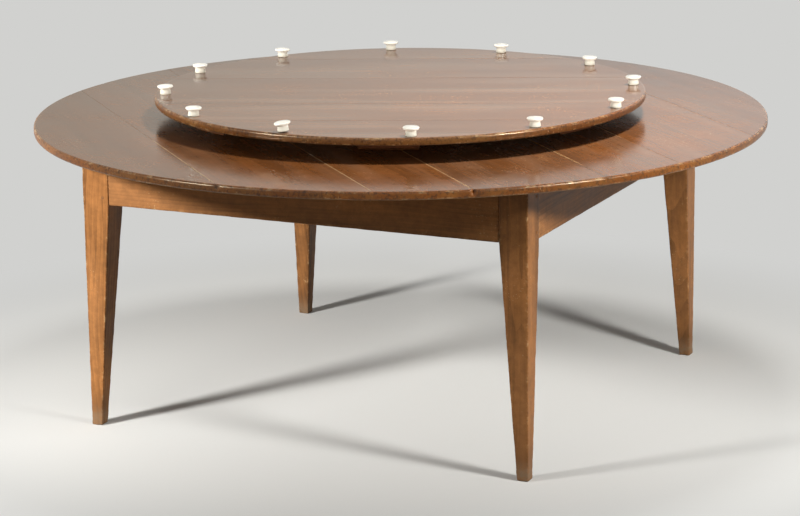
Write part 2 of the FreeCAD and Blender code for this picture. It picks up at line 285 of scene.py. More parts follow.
def plain_sawn_grain(tree, place):
    """The grain of plain-sawn boards, its streaks and pores alone, and where cloths rubbed it."""
    sway, streaks, pores, bands, rubbed = drawn_out(
        tree, place,
        (1.1, 5.0, 2.0),  # how the rings wander
        (3.3, 100.0, 4.0, 0.6, 2.0, 0.4),  # 10 mm wide and about 300 mm long
        (60.0, 1000.0, 2.0),  # drawn 1 mm wide, which is coarser than real
        (1.6, 22.0, 1.5),  # 45 mm wide and about 600 mm long
        (1.3, 11.0, 3.0))  # 90 mm wide and about 800 mm long
    # Growth rings about the tree's heart, which lies below the board, drawn out along it
    drawn = add_node(tree, "ShaderNodeMapping", {"Vector": place, "Scale": (0.05, 1.0, 1.0)})
    bent = add_node(tree, "ShaderNodeVectorMath", [sway.outputs["Color"], 0.09],
                    operation="SCALE")
    rings = add_node(tree, "ShaderNodeVectorMath", [drawn, bent])
    rings = add_node(tree, "ShaderNodeTexWave", {
        "Vector": rings, "Scale": 35.0, "Distortion": 1.5, "Detail": 2.0, "Detail Scale": 1.5},
        wave_type="RINGS", rings_direction="X", wave_profile="SAW")
    grain = 0.0
    for layer, weight in ((streaks, 0.4), (rings, 0.1), (pores, 0.06), (bands, 0.54)):
        grain = add_node(tree, "ShaderNodeMath", [layer, weight, grain],
                         operation="MULTIPLY_ADD")
    return grain, streaks, pores, rubbed


def varnished_wood(name, colour, turn, roughness, ior, contrast=1.0, raw_below=None,
                   painted_rim_light_below=0.85, seams=0.0, faded=0.05, mottled=0.17):
    """Plain-sawn boards, planed by hand and finished with a thin oil varnish that has darkened.

    The growth rings give soft wide bands along each board, the open pores short dark streaks,
    and the varnish a broad sheen that is thinner and rougher where hands and cloths rubbed it.
    The turn lays the grain's direction along X, and contrast is the grain's. raw_below is the
    colour of an unfinished lower face, and painted_rim_light_below the share of a rim's colour
    kept where it faces down, which paints shade on its lower half. seams, faded and mottled are
    the strengths of the pale wood along the joints, which is pale filler and a painted highlight,
    of the rubbed varnish and of its patches.
    """
    material, tree, at = new_material(name)
    height = add_node(tree, "ShaderNodeSeparateXYZ", [at]).outputs["Z"]
    facing = add_node(tree, "ShaderNodeNewGeometry").outputs["Normal"]
    facing = add_node(tree, "ShaderNodeSeparateXYZ", [facing]).outputs["Z"]
    arris, rim, seam, board = (
        add_node(tree, "ShaderNodeAttribute", attribute_name=worn).outputs["Fac"]
        for worn in ("arris", "rim", "seam", "board"))
    laid = add_node(tree, "ShaderNodeMapping", {"Vector": at, "Rotation": turn})
    apart = add_node(tree, "ShaderNodeVectorMath", [BOARDS_APART, board], operation="SCALE")
    place = add_node(tree, "ShaderNodeVectorMath", [laid, apart])
    grain, streaks, pores, rubbed = plain_sawn_grain(tree, place)
    own = add_node(tree, "ShaderNodeTexWhiteNoise", {"W": board}, noise_dimensions="1D")
    noise = add_nodes(tree, "ShaderNodeTexNoise", {
        "clouds": (at, 7.0, 5.0, 0.6),  # 140 mm across
        "patches": (at, 38.0, 4.0, 0.75),  # 26 mm
        "flecks": (at, 130.0, 3.0, 0.7),  # 8 mm
        "specks": (at, 210.0, 1.0)})  # 5 mm

    # Each share follows a value between two of its levels, and has itself two ends
    share = add_nodes(tree, "ShaderNodeMapRange", {
        "board": (own, 0.0, 1.0, 0.86, 1.1),
        "cloud": (noise.clouds, 0.3, 0.7, 0.82, 1.14),
        "mottle": (noise.patches, 0.36, 0.6, 1 - mottled, 1 + 0.4 * mottled),
        "rubbed": (rubbed, 0.42, 0.64, 0.0, faded),
        # painted shade: a rim darkens as it faces down, over its lower half
        "handled": (facing, -0.6, 0.6, painted_rim_light_below, 1.0),
        "dirt": (noise.flecks, 0.38, 0.5, 0.7, 0.0),
        # pale knocks on the arrises, which also paint the highlight along the rims' upper edges
        "knocks": (noise.patches, 0.53, 0.66, 0.0, 0.8),
        "seam": (noise.patches, 0.32, 0.5, 0.45, 0.95),
        "specks": (noise.specks, 0.67, 0.71, 0.0, 0.6),
        "crowded": (noise.clouds, 0.52, 0.6),
        "caked": (noise.patches, 0.35, 0.6, 0.25, 0.85),
        "near_floor": (height, 15 * MM, 95 * MM, 1.0, 0.0),
        "scuffed": (height, 25 * MM, 55 * MM, 1.0, 0.0),
        "sheen": (noise.clouds, 0.3, 0.7, roughness - 0.04, roughness + 0.05)})
    edges = add_node(tree, "ShaderNodeMath", [arris, 0.6, rim], operation="MULTIPLY_ADD")
    worn = add_nodes(tree, "ShaderNodeMath", {
        "tone": (share.board, share.cloud),
        "dirt": (share.dirt, edges),
        "arris": (share.knocks, arris),
        "seam": (share.seam, seam),
        "specks": (share.specks, share.crowded),
        "grime": (share.near_floor, share.caked)}, operation="MULTIPLY")

    # Each board's own tone, under the clouds and patches of old varnish
    tone = add_node(tree, "ShaderNodeValToRGB", [grain], shades(
        colour, (0.36, 1 - 0.42 * contrast), (0.48, 1 - 0.12 * contrast),
        (0.56, 1 + 0.06 * contrast), (0.72, 1 + 0.28 * contrast)))
    level = add_node(tree, "ShaderNodeMath", [worn.tone, share.mottle], operation="MULTIPLY")
    tone = add_node(tree, "ShaderNodeVectorMath", [tone, level], operation="SCALE")
    tone = add_node(tree, "ShaderNodeMix", [share.rubbed, tone, linear(RUBBED)],
                    data_type="RGBA")

    # Rims of golden end grain, painted shade where a rim faces down, dirt in short dark flecks on
    # edges, pale wood where knocks, rubbing and filler show, which on the arrises and along the
    # joints is also a painted highlight, and grime near the floor, scuffed to bare grey wood at the
    # feet
    golden = add_node(tree, "ShaderNodeVectorMath", [tone, END_GRAIN], operation="MULTIPLY")
    # Painted shade: the golden rim colour darkens where the rim faces down
    golden = add_node(tree, "ShaderNodeVectorMath", [golden, share.handled], operation="SCALE")
    # Pale wood along the joints and on knocked arrises: real wear and filler, and also a painted
    # highlight
    pale = add_node(tree, "ShaderNodeMath", [worn.seam, seams], operation="MULTIPLY")
    for bare in (worn.arris, worn.specks):
        pale = add_node(tree, "ShaderNodeMath", [pale, bare], operation="MAXIMUM")
    soiled = add_node(tree, "ShaderNodeMix", [share.scuffed, linear(GRIME), linear(SCUFFED)],
                      data_type="RGBA")
    layers = [(rim, golden), (worn.dirt, shaded(colour, DIRT)), (pale, linear(BARE_AND_HIGHLIGHT)),
              (worn.grime, soiled)]
    sheen = add_node(tree, "ShaderNodeMath", [rim, 0.15, share.sheen],
                     operation="MULTIPLY_ADD")
    if raw_below:
        raw = add_node(tree, "ShaderNodeMath", [facing, -0.7], operation="LESS_THAN")
        layers.append((raw, add_node(tree, "ShaderNodeValToRGB", [grain], shades(
            raw_below, (0.34, 0.55), (0.5, 0.9), (0.68, 1.25)))))
        sheen = add_node(tree, "ShaderNodeMix", [raw, sheen, 0.8])
    for where, over in layers:
        tone = add_node(tree, "ShaderNodeMix", [where, tone, over], data_type="RGBA")

    relief = add_node(tree, "ShaderNodeMath", [streaks, 0.5, pores], operation="MULTIPLY_ADD")
    planed = add_node(tree, "ShaderNodeBump", {"Strength": 0.25, "Distance": 0.06 * MM,
                                               "Height": relief})
    shader = add_node(tree, "ShaderNodeBsdfPrincipled", {
        "Base Color": tone, "Roughness": sheen, "Normal": planed, "IOR": ior})
    add_node(tree, "ShaderNodeOutputMaterial", [shader])
    return material


def raw_wood(name, colour, turn):
    """Sawn and roughly planed secondary wood, never finished: dull, dusty and faintly striped."""
    material, tree, at = new_material(name)
    laid = add_node(tree, "ShaderNodeMapping", {"Vector": at, "Rotation": turn})
    streaks, = drawn_out(tree, laid, (8.0, 220.0, 4.0, 0.65, 2.0, 0.5))  # 4.5 mm by 125 mm
    tone = add_node(tree, "ShaderNodeValToRGB", [streaks], shades(
        colour, (0.3, 0.55), (0.5, 0.95), (0.72, 1.3)))
    dust = add_node(tree, "ShaderNodeTexNoise", [at, 24.0, 5.0, 0.7])  # 40 mm across
    dust = add_node(tree, "ShaderNodeMapRange", [dust, 0.35, 0.7, 0.7, 1.1])
    tone = add_node(tree, "ShaderNodeVectorMath", [tone, dust], operation="SCALE")
    sawn = add_node(tree, "ShaderNodeBump", {"Strength": 0.6, "Distance": 0.3 * MM,
                                             "Height": streaks})
    shader = add_node(tree, "ShaderNodeBsdfPrincipled", {
        "Base Color": tone, "Roughness": 0.82, "Normal": sawn})
    add_node(tree, "ShaderNodeOutputMaterial", [shader])
    return material


def glazed_porcelain(colour):
    """Thrown porcelain under a clear fired glaze: warm white, with a sharp wet gloss.

    Brown blotches lie round the foot, painted shade greys the neck, and dark specks were fired in.
    """
    material, tree, at = new_material("glazed_porcelain")
    height = add_node(tree, "ShaderNodeSeparateXYZ", [at]).outputs["Z"]
    noise = add_nodes(tree, "ShaderNodeTexNoise", {
        "stain": (at, 160.0, 4.0, 0.65),  # 6 mm across
        "specks": (at, 420.0, 1.0),  # 2.4 mm, coarser than real
        "waves": (at, 90.0, 1.0)})  # 11 mm
    foot = TRAY_HIGH.z
    share = add_nodes(tree, "ShaderNodeMapRange", {
        "foot": (height, foot, foot + 6 * MM, 0.85, 0.0),
        # painted shade: greyed from the foot up to 11 mm, fading out by 16 mm, below the cap
        "neck": (height, foot + 11 * MM, foot + 16 * MM, 0.4, 0.0),
        "specks": (noise.specks, 0.69, 0.74, 0.0, 0.45),
        "gloss": (noise.stain, 0.0, 1.0, 0.1, 0.24)})
    brown_near_foot = add_node(tree, "ShaderNodeMath", [share.foot, noise.stain], operation="MULTIPLY")
    tone = shaded(colour)
    for where, over in ((brown_near_foot, "8C7654"), (share.neck, "B2AC94"), (share.specks, "A08E70")):
        tone = add_node(tree, "ShaderNodeMix", [where, tone, linear(over)], data_type="RGBA")
    uneven = add_node(tree, "ShaderNodeBump", {"Strength": 0.2, "Distance": 0.5 * MM,
                                               "Height": noise.waves})
    shader = add_node(tree, "ShaderNodeBsdfPrincipled", {
        "Base Color": tone, "Roughness": share.gloss, "IOR": 1.52, "Normal": uneven})
    add_node(tree, "ShaderNodeOutputMaterial", [shader])
    return material


def old_metal(name, colour, tarnish, roughness):
    """Metal with a skin of tarnish in patches: smooth where it rubs, dull and dark elsewhere."""
    material, tree, at = new_material(name)
    skin = add_node(tree, "ShaderNodeTexNoise", [at, 180.0, 6.0, 0.7])  # 5.5 mm across
    skin = add_node(tree, "ShaderNodeMapRange", [skin, 0.4, 0.6])
    tone = add_node(tree, "ShaderNodeMix", [skin, linear(colour), linear(tarnish)],
                    data_type="RGBA")
    dull = add_node(tree, "ShaderNodeMapRange", [skin, 0.0, 1.0, roughness, roughness + 0.3])
    pitted = add_node(tree, "ShaderNodeBump", {"Strength": 0.4, "Distance": 0.2 * MM,
                                               "Height": skin})
    shader = add_node(tree, "ShaderNodeBsdfPrincipled", {
        "Base Color": tone, "Metallic": 1.0, "Roughness": dull, "Normal": pitted})
    add_node(tree, "ShaderNodeOutputMaterial", [shader])
    return material


made_finishes = {}


def finish(name):
    """The named finish. All of them are made when the first one is asked for."""
    if not made_finishes:
        wood = bpy.context.scene.dining_table.finishes
        along_x, along_y, upright = (0, 0, 0), (0, 0, QUARTER_TURN), (0, QUARTER_TURN, 0)
        dulled = {"roughness": 0.45, "ior": 1.28}
        made_finishes.update(
            top=varnished_wood(
                "varnished_walnut_top", wood.top_wood, (0, 0, -TOP_TURN), roughness=0.17,
                ior=1.4, contrast=0.7, raw_below=wood.inside_wood, seams=1.0, faded=0.12,
                mottled=0.1),
            # The tray's raw underside is darkened to 0.45 of the inside wood, as painted shade for
            # the dark gap under the tray
            tray=varnished_wood(
                "varnished_walnut_tray", wood.tray_wood, (0, 0, -TRAY_TURN), roughness=0.14,
                # The tray's rims are painted much darker where they face down, as painted shade
                ior=1.4, contrast=0.4, raw_below=shaded(wood.inside_wood, 0.45), painted_rim_light_below=0.3,
                seams=0.1, faded=0.22, mottled=0.05),
            leg=varnished_wood("varnished_cherry_legs", wood.frame_wood, upright,
                               contrast=1.5, **dulled),
            rail_x=varnished_wood("varnished_cherry_front_rails", wood.frame_wood, along_x,
                                  contrast=1.2, **dulled),
            rail_y=varnished_wood("varnished_cherry_side_rails", wood.frame_wood, along_y,
                                  contrast=1.2, **dulled),
            # The battens are darkened to half the tray's colour, as painted shade on their ends in
            # the dark gap under the tray
            tray_batten=varnished_wood(
                "varnished_walnut_battens", shaded(wood.tray_wood, 0.5),
                (0, 0, QUARTER_TURN - TRAY_TURN), roughness=0.45, ior=1.3),
            bearer=raw_wood("sawn_poplar_bearer", wood.inside_wood,
                            (0, 0, QUARTER_TURN - TOP_TURN)),
            block=raw_wood("sawn_poplar_blocks", wood.inside_wood, along_x),
            peg=raw_wood("split_oak_pegs", wood.frame_wood, along_x),
            porcelain=glazed_porcelain(wood.porcelain),
            iron=old_metal("browned_iron", "6E665E", "4A3020", roughness=0.42),
            brass=old_metal("rolled_brass", "C9A254", "7A5A2C", roughness=0.25))
    return made_finishes[name]


# Meshes

LIGHT_GROUPS = ("flagged_off", "gridded_on", "beside_cards")
WORN_LAYERS = ("arris", "rim", "seam", "board")  # attributes of the boards' points
SHARP = math.radians(38)
ROUND_STEPS = 6  # of a rim's quarter round
END_LINES, LINE_GAP = 90, 4 * MM  # lines along, and the gap between those across, for rimmed ends
SIDE_LINES = 260, 14  # along and across a board whose long side is rim
MOSTLY_RIM = 0.7  # a board that starts beyond this share of the radius has a long side of rim
AT_RIM = 0.4 * MM  # how far in from the rim a point still counts as on it
RIM_BAND, RIM_FADE = 14 * MM, 10 * MM  # how far in a rim's wear reaches, and over what it fades
WELD = 5e-6  # metres between points that are one
SAW_MARKS = 0.25 * MM  # their depth in a rim
CHIP_WIDTHS, CHIP_DEPTHS = (1.5, 6), (0.5, 2.0)  # mm
JOINT_CHIP_LEVEL = 0.4
# Pale seams beside the joints: pale filler, and a painted highlight where light catches the joints'
# edges
FILLER_AND_HIGHLIGHT_REACH, FILLER_AND_HIGHLIGHT_FADE = 8 * MM, 30 * MM  # to each side of a joint, and at each end
FILLER_AND_HIGHLIGHT_ELSEWHERE = 0.1
HOLLOW = 0.12 * MM  # how far a face strays from flat
WANDER_SEED, SAW_SEED, HOLLOW_SEED = 11, 12, 13


def keep_piece(name, mesh, body, nodes):
    """The mesh as a piece that stands for CAD nodes and moves with their body."""
    mesh.name = name
    mesh.set_sharp_from_angle(angle=SHARP)
    piece = bpy.data.objects.new(name, mesh)
    bpy.context.scene.collection.objects.link(piece)
    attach(piece, body)
    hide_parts(*nodes)
    return piece


def light_from_above(piece):
    """Light a board by the gridded lamp, the glints and the cards, flagged off the other lamps."""
    groups = [bpy.data.collections[group] for group in LIGHT_GROUPS]
    for group in groups:
        group.objects.link(piece)
    groups[0].collection_objects[-1].light_linking.link_state = "EXCLUDE"


def dress(material, *nodes):
    """A finish on CAD nodes that keep their shape."""
    for node in nodes:
        for slot in frame["nodes"][node].material_slots:
            slot.material = finish(material)


def board_grid(radius, low, high, along, across):
    """Points over the part of a disc between two lines: rows along the board, from low to high."""
    share = np.linspace(0, 1, across + 1)
    reach = np.linspace(-1, 1, along + 1)
    if high >= radius or low <= -radius:
        side = 1 if high >= radius else -1
        chord = low if side > 0 else high
        half = math.sqrt(radius ** 2 - chord ** 2)
        start = math.asin(abs(chord) / radius)
        angle = np.linspace(math.pi - start, start, along + 1)
        line = np.stack([reach * half, np.full(along + 1, chord)], 1)
        arc = np.stack([radius * np.cos(angle), side * radius * np.sin(angle)], 1)
        first, last = (line, arc) if side > 0 else (arc, line)
        return first[:, None] * (1 - share)[None, :, None] + last[:, None] * share[None, :, None]
    y = low + (high - low) * share
    half = np.sqrt(radius ** 2 - y ** 2)
    return np.stack([reach[:, None] * half[None, :],
                     np.broadcast_to(y, (along + 1, across + 1))], 2)


def outline_of(grid):
    """The closed outline of a grid of points, anticlockwise."""
    return np.concatenate([grid[:-1, 0], grid[-1, :-1], grid[:0:-1, -1], grid[0, :0:-1]])


def smooth_noise(points, seed, size, waves=6):
    """Gentle waves over points, between -1 and 1, with features of about the given size."""
    random = np.random.default_rng(seed)
    total = np.zeros(len(points))
    for _ in range(waves):
        direction = random.normal(size=points.shape[1])
        direction /= np.linalg.norm(direction)
        length = size * random.uniform(0.6, 1.8)
        total += np.sin(points @ direction * FULL_TURN / length + random.uniform(0, 6.28))
    return total / waves


def rim_chips(count, radius, joints, seed):
    """Chips along a rim: angle, height between -1 (lower edge) and 1 (upper), width and depth.

    A joint of the boards is a place across them, the width and depth of the chip at its near
    end, and from where to where along it the pale seam shows, which is pale filler and a
    painted highlight of the joint's edges.
    """
    random = np.random.default_rng(seed)
    chips = [(random.uniform(0, FULL_TURN), random.choice((-1.0, 1.0)),
              random.uniform(*CHIP_WIDTHS) * MM, random.uniform(*CHIP_DEPTHS) * MM)
             for _ in range(count)]
    for across, width, depth, *_ in joints:
        along = math.sqrt(radius ** 2 - across ** 2)
        chips.append((math.atan2(across, along) % FULL_TURN, JOINT_CHIP_LEVEL, width, depth))
    return chips


def side_rows(sizes, bottom, top):
    """Rows down a board's side, from the upper face over the rim or joint to the lower face.

    Each has its inset from the rim, its height, the half width of the groove at a joint, and its
    share of worn arris, rim and seam.
    """
    rows = [(sizes.ease + 4 * MM, top, sizes.seam, 0.0, 0.0, 0.0),
            (sizes.ease + 1 * MM, top, sizes.groove, 0.35, 0.0, 1.0)]
    for step in range(ROUND_STEPS + 1):
        angle = math.radians(90 - 90 / ROUND_STEPS * step)
        drop = sizes.ease * (1 - math.sin(angle))
        rows.append((sizes.ease * (1 - math.cos(angle)), top - drop,
                     max(0.0, sizes.groove - drop),
                     math.sin(math.radians(180 / ROUND_STEPS * step)), step / ROUND_STEPS, 1.0))
    rows.append((0.0, (bottom + top) / 2, 0.0, 0.0, 1.0, 0.3))
    # The lower half is the upper one turned over, with its arris a little less worn
    for inset, height, groove, worn, rim, seam in rows[-2:1:-1]:
        rows.append((inset, bottom + top - height, groove, worn * 0.8, rim, seam))
    rows.append((sizes.ease + 1 * MM, bottom, sizes.groove, 0.2, 0.0, 0.0))
    return rows


def board_shell(rows, radius, low, high):
    """Points, their shares of arris, rim and seam, and faces of a board with rows down its side."""
    along, across = SIDE_LINES
    if -radius < low and high < radius and min(abs(low), abs(high)) < radius * MOSTLY_RIM:
        along, across = END_LINES, max(10, int((high - low) / LINE_GAP))
    points, values, faces, outlines, grids, count = [], [], [], [], [], 0
    for row, (inset, height, groove, worn, rim, seam) in enumerate(rows):
        reach = radius - inset
        grid = board_grid(reach, max(low + groove, -reach) if low > -radius else -reach,
                          min(high - groove, reach) if high < radius else reach, along, across)
        outline = outline_of(grid)
        out = np.hypot(outline[:, 0], outline[:, 1])
        at_rim = np.clip((out - (reach - AT_RIM)) / AT_RIM, 0, 1)
        points.append(np.column_stack([outline, np.full(len(outline), height)]))
        values.append(np.column_stack([worn * at_rim, rim * at_rim, seam * (1 - at_rim)]))
        outlines.append(np.arange(count, count + len(outline)))
        count += len(outline)
        if row in (0, len(rows) - 1):
            flat = grid.reshape(-1, 2)
            points.append(np.column_stack([flat, np.full(len(flat), height)]))
            values.append(np.zeros((len(flat), 3)))
            grids.append(np.arange(count, count + len(flat)).reshape(along + 1, across + 1))
            count += len(flat)
    for upper, lower in zip(outlines, outlines[1:]):
        faces += np.column_stack([upper, lower, np.roll(lower, -1), np.roll(upper, -1)]).tolist()
    for grid, order in zip(grids, (1, -1)):
        quads = np.stack([grid[:-1, :-1], grid[1:, :-1], grid[1:, 1:], grid[:-1, 1:]], -1)
        faces += quads.reshape(-1, 4)[:, ::order].tolist()
    return np.concatenate(points), np.concatenate(values), faces


def filler_and_highlight_share(points, joints):
    """Share of pale seam at each point, filler and painted highlight, from
    FILLER_AND_HIGHLIGHT_ELSEWHERE to 1.
    """
    filler_and_highlight = np.full(len(points), FILLER_AND_HIGHLIGHT_ELSEWHERE)
    for across, _, _, start, end in joints:
        here = np.minimum(points[:, 0] - start, end - points[:, 0]) / FILLER_AND_HIGHLIGHT_FADE
        beside = np.abs(points[:, 1] - across) < FILLER_AND_HIGHLIGHT_REACH
        filler_and_highlight = np.where(beside, np.clip(here + 0.5, FILLER_AND_HIGHLIGHT_ELSEWHERE, 1), filler_and_highlight)
    return filler_and_highlight


def wear_board(points, radius, bottom, top, wobble, chips, number):
    """Move a board's points: its rim strays and is chipped, and its face is not quite flat."""
    middle = (bottom + top) / 2
    out = np.hypot(points[:, 0], points[:, 1])
    angle = np.arctan2(points[:, 1], points[:, 0]) % FULL_TURN
    near_rim = np.clip((out - (radius - RIM_BAND)) / RIM_FADE, 0, 1)
    inwards = wobble * (0.5 + 0.5 * smooth_noise(points[:, :2], WANDER_SEED, 90 * MM))
    inwards += SAW_MARKS * (0.5 + 0.5 * smooth_noise(points, SAW_SEED, 12 * MM))
    level = (points[:, 2] - middle) / (top - middle)
    for chip_angle, chip_level, width, depth in chips:
        arc = np.abs((angle - chip_angle + math.pi) % FULL_TURN - math.pi) * radius
        inwards += depth * np.exp(-(arc / width) ** 2 - ((level - chip_level) / 0.5) ** 2)
    points[:, :2] *= (1 - inwards * near_rim / np.maximum(out, 1e-6))[:, None]
    face = points[:, 2] > top - 0.05 * MM
    points[face, 2] -= HOLLOW * (1 + smooth_noise(points[face, :2] + number, HOLLOW_SEED, 0.3))


def closed_mesh(name, points, values, faces):
    """A closed mesh from points, their values of the worn layers, and faces."""
    made = bmesh.new()
    layers = [made.verts.layers.float.new(layer) for layer in WORN_LAYERS]
    corners = []
    for place, shares in zip(points.tolist(), values.tolist()):
        corner = made.verts.new(place)
        for layer, share in zip(layers, shares):
            corner[layer] = share
        corners.append(corner)
    for face in faces:
        made.faces.new([corners[corner] for corner in face])
    bmesh.ops.remove_doubles(made, verts=made.verts, dist=WELD)
    bmesh.ops.recalc_face_normals(made, faces=made.faces)
    for face in made.faces:
        face.smooth = True
    mesh = bpy.data.meshes.new(name)
    made.to_mesh(mesh)
    made.free()
    return mesh


def lay_boards(panel, sizes, boards, turn, body, joints, seed, first):
    """The worn boards of a round panel, numbered from the first on.

    A joint starts with the place in boards of the board whose lower edge it is.
    """
    low_corner, high_corner = box_of(*boards)
    radius, bottom, top = high_corner.x, low_corner.z, high_corner.z
    edges = [across_board(node, turn) for node in boards]
    joints = [(edges[place][0], *look) for place, *look in joints]
    chips = rim_chips(sizes.chips, radius, joints, seed)
    rows = side_rows(sizes, bottom, top)
    spin = np.array(Matrix.Rotation(turn, 3, "Z")).T
    for number, (node, (low, high)) in enumerate(zip(boards, edges), first):
        points, values, faces = board_shell(rows, radius, -radius if node == boards[0] else low,
                                            radius if node == boards[-1] else high)
        values[:, 2] *= filler_and_highlight_share(points, joints)
        wear_board(points, radius, bottom, top, sizes.wobble, chips, number)
        values = np.column_stack([values, np.full(len(values), number)])
        mesh = closed_mesh(node, points @ spin, values, faces)
        mesh.materials.append(finish(panel))
        light_from_above(keep_piece(f"worn_{node}", mesh, body, [node]))


# Geometry trees

NEAR_ARRIS = 6 * MM  # how far in the wear of an arris reaches
# Lines of the cubes that legs and rails are made from
LEG_LINES = {"Vertices X": 21, "Vertices Y": 21, "Vertices Z": 181}
RAIL_LINES = {"Vertices X": 161, "Vertices Y": 13, "Vertices Z": 25}
KNOB_LINES = {"Vertices X": 57, "Vertices Y": 71}


def new_tree(name, **inputs):
    """A geometry tree with inputs named by kind, and the sockets that give them."""
    tree = bpy.data.node_groups.new(name, "GeometryNodeTree")
    tree.interface.new_socket("Geometry", in_out="OUTPUT", socket_type="NodeSocketGeometry")
    for kind, labels in inputs.items():
        for label in labels:
            tree.interface.new_socket(label, in_out="INPUT", socket_type=f"NodeSocket{kind}")
    return tree, tree.nodes.new("NodeGroupInput").outputs


def grown(tree, values):
    """The tree's result as a plain mesh, from its inputs' values."""
    holder = bpy.data.objects.new("holder", bpy.data.meshes.new("holder"))
    bpy.context.scene.collection.objects.link(holder)
    modifier = holder.modifiers.new("shape", "NODES")
    modifier.node_group = tree
    for item in tree.interface.items_tree:
        if item.in_out == "INPUT":
            modifier[item.identifier] = values[item.name]
    seen = holder.evaluated_get(bpy.context.evaluated_depsgraph_get())
    mesh = bpy.data.meshes.new_from_object(seen)
    holder.modifiers.remove(modifier)
    bpy.data.objects.remove(holder)
    if not mesh.polygons:
        raise RuntimeError(f"{tree.name} made no faces")
    return mesh


def crowded_cube(tree, lines):
    """A cube of side 2, and its points' places with its lines crowded towards the arrises."""
    cube = add_node(tree, "GeometryNodeMeshCube", {"Size": (2, 2, 2), **lines})
    here = add_node(tree, "GeometryNodeInputPosition")
    size = add_node(tree, "ShaderNodeVectorMath", [here], operation="ABSOLUTE")
    side = add_node(tree, "ShaderNodeVectorMath", [here], operation="SIGN")
    left = add_node(tree, "ShaderNodeVectorMath", [(1, 1, 1), size], operation="SUBTRACT")
    left = add_node(tree, "ShaderNodeVectorMath", [left, left], operation="MULTIPLY")
    share = add_node(tree, "ShaderNodeVectorMath", [(1, 1, 1), left], operation="SUBTRACT")
    spot = add_node(tree, "ShaderNodeVectorMath", [share, side], operation="MULTIPLY")
    return cube, spot


def eased_block(tree, spot, half, arris, wear, seed):
    """Nodes that size a crowded cube, round its arrises and knock them about.

    half is its half size as a vector, which may vary over the cube. Returns the place of each
    point and how near it is to an arris, from 0 (NEAR_ARRIS away or more) to 1.
    """
    point = add_node(tree, "ShaderNodeVectorMath", [spot, half], operation="MULTIPLY")
    round_all = add_node(tree, "ShaderNodeCombineXYZ", [arris, arris, arris])
    core = add_node(tree, "ShaderNodeVectorMath", [half, round_all], operation="SUBTRACT")
    minus = add_node(tree, "ShaderNodeVectorMath", [core, -1.0], operation="SCALE")
    inner = add_node(tree, "ShaderNodeVectorMath", [point, core], operation="MINIMUM")
    inner = add_node(tree, "ShaderNodeVectorMath", [inner, minus], operation="MAXIMUM")
    over = add_node(tree, "ShaderNodeVectorMath", [point, inner], operation="SUBTRACT")
    most = add_node(tree, "ShaderNodeVectorMath", [over], operation="ABSOLUTE")
    x, y, z = add_node(tree, "ShaderNodeSeparateXYZ", [most]).outputs
    most = add_node(tree, "ShaderNodeMath", [x, y], operation="MAXIMUM")
    most = add_node(tree, "ShaderNodeMath", [most, z], operation="MAXIMUM")

    # The second smallest of the distances to the faces is the distance to the nearest arris
    room = add_node(tree, "ShaderNodeVectorMath", [point], operation="ABSOLUTE")
    room = add_node(tree, "ShaderNodeVectorMath", [half, room], operation="SUBTRACT")
    x, y, z = add_node(tree, "ShaderNodeSeparateXYZ", [room]).outputs
    lesser = add_node(tree, "ShaderNodeMath", [x, y], operation="MINIMUM")
    larger = add_node(tree, "ShaderNodeMath", [x, y], operation="MAXIMUM")
    larger = add_node(tree, "ShaderNodeMath", [larger, z], operation="MINIMUM")
    second = add_node(tree, "ShaderNodeMath", [lesser, larger], operation="MAXIMUM")
    near = add_node(tree, "ShaderNodeMapRange", [second, 0.0, NEAR_ARRIS, 1.0, 0.0])

    shift = add_node(tree, "ShaderNodeCombineXYZ", [seed, seed, seed])
    at = add_node(tree, "ShaderNodeVectorMath", [point, shift])
    knocks = add_node(tree, "ShaderNodeTexNoise", [at, 28.0, 4.0, 0.6])  # 36 mm apart
    knocks = add_node(tree, "ShaderNodeMapRange", [knocks, 0.42, 0.75])
    for share in (wear, near):
        knocks = add_node(tree, "ShaderNodeMath", [knocks, share], operation="MULTIPLY")
    reach = add_node(tree, "ShaderNodeMath", [most, knocks], operation="SUBTRACT")
    outwards = add_node(tree, "ShaderNodeVectorMath", [over], operation="NORMALIZE")
    outwards = add_node(tree, "ShaderNodeVectorMath", [outwards, reach], operation="SCALE")
    return add_node(tree, "ShaderNodeVectorMath", [inner, outwards]), near


def end_tree(tree, shape, given):
    """The last nodes of a tree: plain geometry, smooth faces and the material."""
    plain = add_node(tree, "GeometryNodeRealizeInstances", {"Geometry": shape})
    smooth = add_node(tree, "GeometryNodeSetShadeSmooth", {"Geometry": plain})
    painted = add_node(tree, "GeometryNodeSetMaterial", {"Geometry": smooth,
                                                         "Material": given["Material"]})
    add_node(tree, "NodeGroupOutput", {"Geometry": painted})
    return tree


def end_block(tree, cube, place, middle, near, given):
    """The last nodes of a leg or rail: its attributes, and its points in place about a middle."""
    for name, value in (("arris", near), ("board", given["Board"])):
        cube = add_node(tree, "GeometryNodeStoreNamedAttribute", {
            "Geometry": cube, "Name": name, "Value": value}, data_type="FLOAT")
    place = add_node(tree, "ShaderNodeVectorMath", [place, middle])
    moved = add_node(tree, "GeometryNodeSetPosition", {"Geometry": cube, "Position": place})
    turned = add_node(tree, "GeometryNodeTransform", {"Geometry": moved,
                                                      "Rotation": given["Turn"]})
    return end_tree(tree, turned, given)


